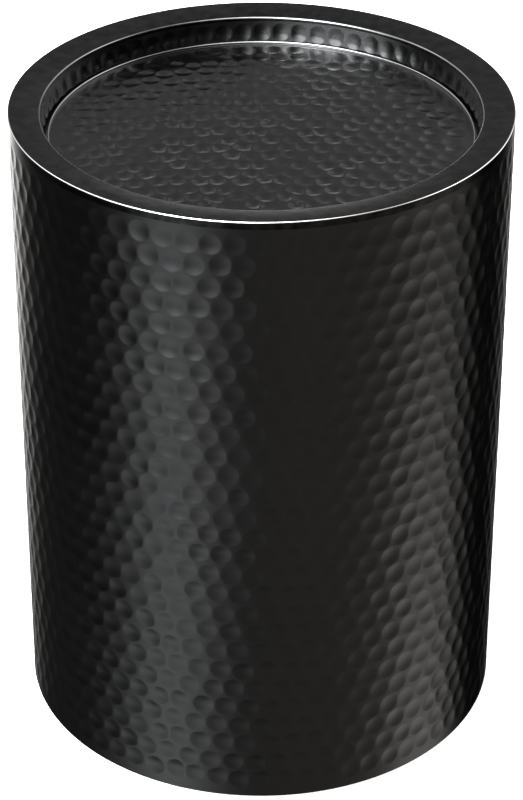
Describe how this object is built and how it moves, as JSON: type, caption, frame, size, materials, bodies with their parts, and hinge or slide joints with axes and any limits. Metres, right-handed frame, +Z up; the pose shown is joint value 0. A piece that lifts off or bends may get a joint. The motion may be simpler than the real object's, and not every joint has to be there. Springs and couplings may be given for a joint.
{
  "type": "drum side table",
  "caption": "Round drum side table of black hammered metal with a flat ring rim and a sunken round tray that lifts out of its seat.",
  "frame": {"origin": "centre of the drum on the floor, at the underside of the feet", "axes": "+Z up along the drum's axis, +Y towards the welded seam at the back, +X to the right of the front"},
  "size_m": [0.381, 0.381, 0.5118],
  "materials": {
    "hammered_metal": "satin black lacquer over round hammer marks",
    "rim_metal": "satin black, smooth, with edges rubbed bright",
    "inner_metal": "matt black undercoat",
    "bumper_rubber": "soft grey silicone",
    "foot_rubber": "matt black rubber",
    "fastener_steel": "zinc plated steel"
  },
  "bodies": {
    "drum": {"drum_shell": "hammered_metal", "seam_strap": "inner_metal", "top_rim": "rim_metal", "tray_collar": "hammered_metal", "seat_ring": "inner_metal", "seat_bracket_1": "inner_metal", "seat_bracket_2": "inner_metal", "seat_bracket_3": "inner_metal", "seat_bracket_4": "inner_metal", "seat_bracket_5": "inner_metal", "seat_bracket_6": "inner_metal", "tray_bumper_1": "bumper_rubber", "tray_bumper_2": "bumper_rubber", "tray_bumper_3": "bumper_rubber", "tray_bumper_4": "bumper_rubber", "tray_bumper_5": "bumper_rubber", "tray_bumper_6": "bumper_rubber", "base_hoop": "inner_metal", "base_plate": "inner_metal", "foot_1": "foot_rubber", "foot_2": "foot_rubber", "foot_3": "foot_rubber", "foot_4": "foot_rubber", "base_screws": "fastener_steel", "base_nuts": "fastener_steel", "foot_washers": "fastener_steel", "foot_screws": "fastener_steel", "foot_nuts": "fastener_steel"},
    "tray": {"tray_pan": "hammered_metal", "tray_locating_hoop": "inner_metal"}
  },
  "joints": [
    {"name": "tray_lift", "type": "slide", "parent": "drum", "child": "tray", "axis": [0, 0, 1], "range_m": [0, 0.15]}
  ]
}
